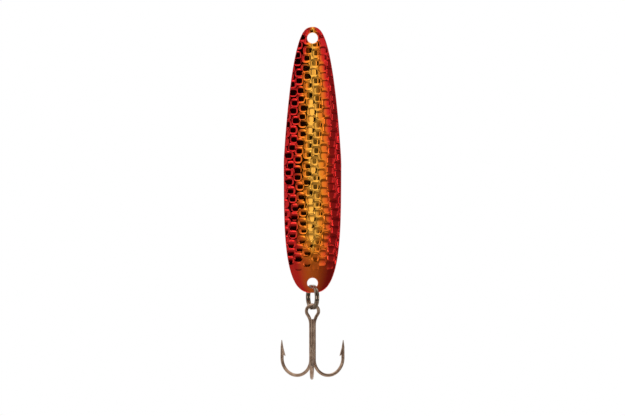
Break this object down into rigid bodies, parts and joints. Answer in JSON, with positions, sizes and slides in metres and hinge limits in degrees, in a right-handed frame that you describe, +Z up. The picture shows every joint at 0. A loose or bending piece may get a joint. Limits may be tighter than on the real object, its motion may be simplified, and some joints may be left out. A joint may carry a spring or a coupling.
{
  "type": "spoon lure",
  "caption": "Hammered, cupped fishing spoon with a line-tie hole in its nose and a treble hook swinging from a split ring in its tail.",
  "frame": {"origin": "centre of the line-tie hole in the blade's nose, in the middle of the sheet", "axes": "+Z up the hanging lure towards its nose; the domed face looks along -Y; +X to the right of that face"},
  "size_m": [0.0232, 0.0203, 0.1255],
  "materials": {
    "lacquered_blade": "plated brass, hammered in close dimples, under clear lacquer that runs from red at the edges to gold in the middle",
    "ring_wire": "spring wire with a dark bronze finish",
    "hook_wire": "carbon steel wire with a bronze finish",
    "brazing_metal": "dull brazing metal"
  },
  "bodies": {
    "blade": {"spoon_blade": "lacquered_blade"},
    "ring": {"split_ring": "ring_wire"},
    "hook": {"double_hook": "hook_wire", "third_hook": "hook_wire", "braze_seam": "brazing_metal"}
  },
  "joints": [
    {"name": "ring_swing", "type": "hinge", "parent": "blade", "child": "ring", "pos_m": [0, 0.00376, -0.0902], "axis": [0.9205, 0.3907, 0], "range_deg": [-80, 80]},
    {"name": "hook_swing", "type": "hinge", "parent": "ring", "child": "hook", "pos_m": [0, 0.00376, -0.09757], "axis": [0, 1, 0], "range_deg": [-60, 60]}
  ]
}
